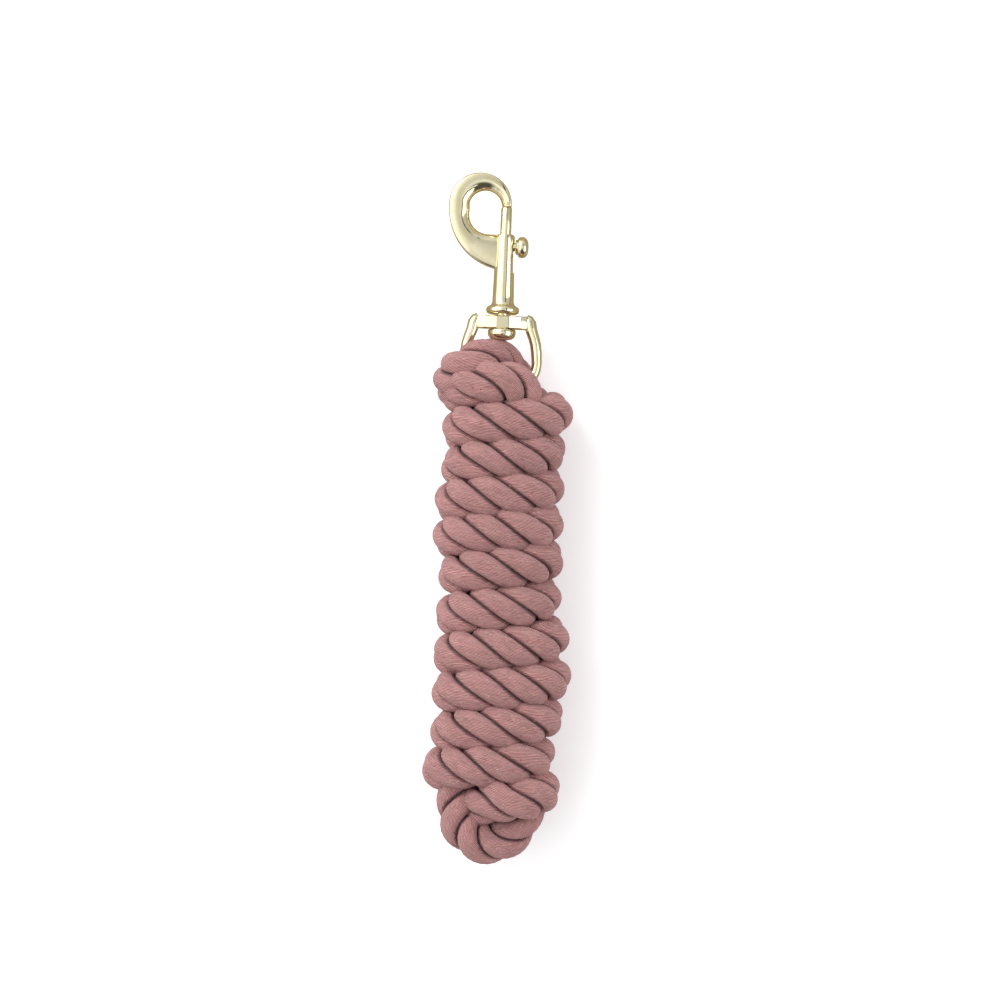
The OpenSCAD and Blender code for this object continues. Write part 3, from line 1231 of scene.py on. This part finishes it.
    def stud(self) -> None:
        """Build the thumb stud: shank, neck, collar and domed knob."""
        r, n, k = self.knob_d / 2, self.neck_d / 2, self.knob_in
        profile = [(0, self.neck_foot[0][1])] + [(n - inset, h) for inset, h in self.neck_foot]
        profile += [(n, k - self.neck_length)]
        profile += [(r - inset, k + h) for inset, h in self.knob_outline] + [(0, k + self.knob_t)]
        place = (Matrix.Translation((SNAP_X, SNAP_Y + self.neck_y, AXIS_Z))
                 @ Matrix.Rotation(math.pi / 2, 4, "Y"))
        shape = Shape("thumb_knob")
        shape.take(spun(profile, steps=56), place)
        piece = place_mesh(shape.mesh(), self.plating, Body.BOLT)
        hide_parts("thumb_stud")

    def rivet(self) -> None:
        """Build the shouldered rivet that holds the eye."""
        shape = Shape("rivet")
        shape.take(spun(self.rivet_outline, steps=64), snap_place())
        piece = place_mesh(shape.mesh(), self.plating, Body.SNAP)
        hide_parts("swivel_rivet")

    def spring(self) -> None:
        """Wind the bolt spring, at one length."""
        shape = Shape("coil_spring")
        shape.loft(wound_wire(snap_place(), self.spring_r, self.spring_wire,
                              self.spring_span, self.spring_turns, self.spring_steps))
        piece = place_mesh(shape.mesh(), self.steel, Body.SNAP)
        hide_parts("bolt_spring")
        (SNAP_Y + self.press_l) * MM
        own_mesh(piece)

    def bar_reach(self, angle: float) -> float:
        """Work out how far the eye's bar goes from its middle in a direction.

        Args:
            angle: the direction.

        Returns:
            The distance to its side.
        """
        corners = [Vector(c) for c in self.bar_corners]
        way = Vector((abs(math.cos(angle)), abs(math.sin(angle))))
        best = math.inf
        for a, b in zip(corners, corners[1:]):
            normal = Vector(((b - a).y, (a - b).x)).normalized()
            if normal.dot(way) > 0:
                best = min(best, normal.dot(a) / normal.dot(way))
        return best

    def crossbar(self, shape: Shape) -> None:
        """Build the eye's bar: a flat prism with four slanting faces and a hole for the rivet.

        Args:
            shape: the piece to add it to.
        """
        low, high, bevel = self.bar_low, self.bar_high, self.bar_bevel
        # radius 1 stands for the hole, 2 for the bevelled rim and 3 for the side
        bm = spun([(1.0, low), (2.0, low), (3.0, low + bevel), (3.0, high - bevel), (2.0, high),
                   (1.0, high)], self.bar_steps)
        for v in bm.verts:
            angle = math.atan2(v.co.y, v.co.x)
            side = self.bar_reach(angle)
            r = (self.bar_hole, side - bevel, side)[round(v.co.xy.length) - 1]
            v.co.x, v.co.y = r * math.cos(angle), r * math.sin(angle)
        shape.take(bm, snap_place())

    def eye(self) -> None:
        """Build the swivel eye: bar, arms and the round wire at the bottom."""
        shape = Shape("swivel_eye_casting")
        self.crossbar(shape)
        line = [(Vector((x, 0, up)), r) for x, up, r in self.arm]
        line += [(Vector((p.x, 0, p.y)), self.bottom_r) for p in arc(*self.bottom)]
        line += [(Vector((-c.x, 0, c.z)), r) for c, r in reversed(line)]
        place, forth = snap_place(), Vector((0, 1, 0))
        sections = []
        for i, (c, r) in enumerate(line):
            along = (line[min(i + 1, len(line) - 1)][0] - line[max(i - 1, 0)][0]).normalized()
            ring = round_section(c, forth.cross(along), forth, r, self.eye_sides)
            sections.append([place @ p for p in ring])
        shape.loft(sections)
        piece = place_mesh(shape.mesh(), self.plating, Body.ROPE)
        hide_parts("swivel_eye")


@dataclass
class Studio:
    """Camera, pale floor and soft light."""

    camera_at: tuple = (-0.0019, 0.00895, 1.281)
    roll: float = 2.3
    lens: float = 86.5
    sensor: float = 36.0
    clip: tuple = (0.01, 20.0)
    floor_size: float = 4.0
    floor_colour: tuple = (0.93, 0.93, 0.93, 1)
    floor_glow: float = 0.22
    # each lamp: name, place, side in metres, power in watts
    lamps: tuple = (("key", (-0.9, 0.9, 1.3), 0.8, 13.0), ("fill", (1.2, -0.3, 1.1), 1.6, 11.0))
    # each card: name, place, turn about Y in degrees, sides in metres, colour
    cards: tuple = (("strip", (0.5, 0, 0.95), 28.0, (0.17, 1.8), (0.02, 0.02, 0.015, 1)),
                    ("underlay", (0, 0, 0.0005), 0.0, (3.0, 3.0), (0.36, 0.30, 0.20, 1)))
    sky_power: float = 0.97
    sky_colour: tuple = (0.98, 0.985, 1.0, 1.0)
    # each panel of the sky: power, direction, closeness to it where it fades and is full
    panels: tuple = ((0.85, (-0.8, 0.35, 0.5), 0.55, 0.98), (-0.88, (0.2, -0.8, 0.55), 0.62, 0.93),
                     (0.3, (-0.38, -0.32, 0.87), 0.9, 0.995),
                     (-0.3, (0.12, 0.36, 0.92), 0.9, 0.995), (-0.35, (0.9, 0.5, 0.35), 0.6, 0.95))
    horizon: tuple = (0.34, 0.02)
    horizon_dark: float = 0.7

    def add(self, name: str, data: bpy.types.ID) -> bpy.types.Object:
        """Link an object to the scene.

        Args:
            name: its name.
            data: its mesh, light or camera.

        Returns:
            The object.
        """
        thing = bpy.data.objects.new(name, data)
        bpy.context.scene.collection.objects.link(thing)
        return thing

    def camera(self) -> None:
        """Put the camera straight over the object."""
        data = bpy.data.cameras.new("camera")
        data.lens, data.sensor_width = self.lens, self.sensor
        data.clip_start, data.clip_end = self.clip
        camera = self.add("camera", data)
        camera.location = self.camera_at
        camera.rotation_euler = (0, 0, math.radians(self.roll))
        bpy.context.scene.camera = camera

    def sheet(self, name: str, matrix: Matrix, material: bpy.types.Material) -> bpy.types.Object:
        """Add a flat rectangle that isn't part of the object.

        Args:
            name: its name.
            matrix: its place, turn and size, from a square of side 1.
            material: its material.

        Returns:
            The rectangle.
        """
        bm = bmesh.new()
        bmesh.ops.create_grid(bm, x_segments=1, y_segments=1, size=0.5, matrix=matrix)
        mesh = mesh_of(bm, name)
        mesh.materials.append(material)
        thing = self.add(name, mesh)
        return thing

    def floor(self) -> None:
        """Lay a pale floor."""
        paint = Tree("floor_white").finish(self.floor_colour, 0.9, None, 0.0,
                                           Specular_IOR_Level=0.1,
                                           Emission_Strength=self.floor_glow)
        side = 2 * self.floor_size
        self.sheet("floor", Matrix.Diagonal((side, side, 1.0, 1.0)), paint)

    def lights(self) -> None:
        """Hang the soft lights, which face the object."""
        for name, at, size, power in self.lamps:
            data = bpy.data.lights.new(name, "AREA")
            data.shape, data.size, data.energy = "SQUARE", size, power
            lamp = self.add(name, data)
            lamp.location = at
            lamp.rotation_euler = (-Vector(at)).to_track_quat("-Z", "Y").to_euler()

    def reflectors(self) -> None:
        """Hang the cards, which only polished surfaces see."""
        for name, at, turn, size, colour in self.cards:
            paint = Tree(name + "_card").finish(colour, 1.0, None, 0.0, Specular_IOR_Level=0.0)
            matrix = (Matrix.Translation(at) @ Matrix.Rotation(math.radians(turn), 4, "Y")
                      @ Matrix.Diagonal((*size, 1.0, 1.0)))
            card = self.sheet(name, matrix, paint)
            card.visible_camera = card.visible_diffuse = card.visible_shadow = False

    def sky(self) -> None:
        """Surround the object with soft panels: bright on one side, dark low on the other."""
        t = Tree("studio", world=True)
        way = t.node("ShaderNodeTexCoord", out="Generated")
        power: Sock | float = self.sky_power
        for strength, aim, low, high in self.panels:
            near = t.node("ShaderNodeVectorMath", {"operation": "DOT_PRODUCT"},
                          {0: way, 1: tuple(Vector(aim).normalized())}, out="Value")
            power = power + strength * t.ramp(near, low, high)
        height = t.node("ShaderNodeSeparateXYZ", values={0: way}, out="Z")
        power = power * (1 - t.ramp(height, *self.horizon) * self.horizon_dark)
        seen = t.node("ShaderNodeLightPath", out="Is Camera Ray")
        power = power * (1 - seen) + seen
        back = t.node("ShaderNodeBackground", values={"Color": self.sky_colour,
                                                      "Strength": power})
        t.node_out(back, "ShaderNodeOutputWorld")
        bpy.context.scene.world = t.material

    def build(self) -> None:
        """Build the world, the floor, the lights and the cards."""
        bpy.context.scene.view_settings.view_transform = "Standard"
        self.sky()
        self.floor()
        self.lights()
        self.reflectors()


def main() -> None:
    """Build the scene in order and report its pieces."""
    logging.basicConfig(level=logging.INFO, format="%(name)s: %(message)s")
    studio = Studio()
    studio.camera()
    cotton = CottonFinish().material()
    twine = Whipping().build(TwineFinish().material())
    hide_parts("tail_whipping")
    laid = LaidRope()
    path = laid.path()
    length = run_length(path) * MM
    log.info("rope length %.3f m, %d rings", length, len(path))
    rope = place_mesh(laid.mesh(path), cotton, Body.ROPE, laid.smooth_angle)
    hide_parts("rope_hank", "rope_eye_bight", "rope_end_bight", "rope_tail")
    [tuple(p * MM) for p in path]
    snap = Snap(PolishedFinish().material(), DrawnWireFinish().material())
    for build in (snap.hook_body, snap.bolt, snap.stud, snap.rivet, snap.spring, snap.eye):
        build()
    studio.build()


if __name__ == "__main__":
    main()
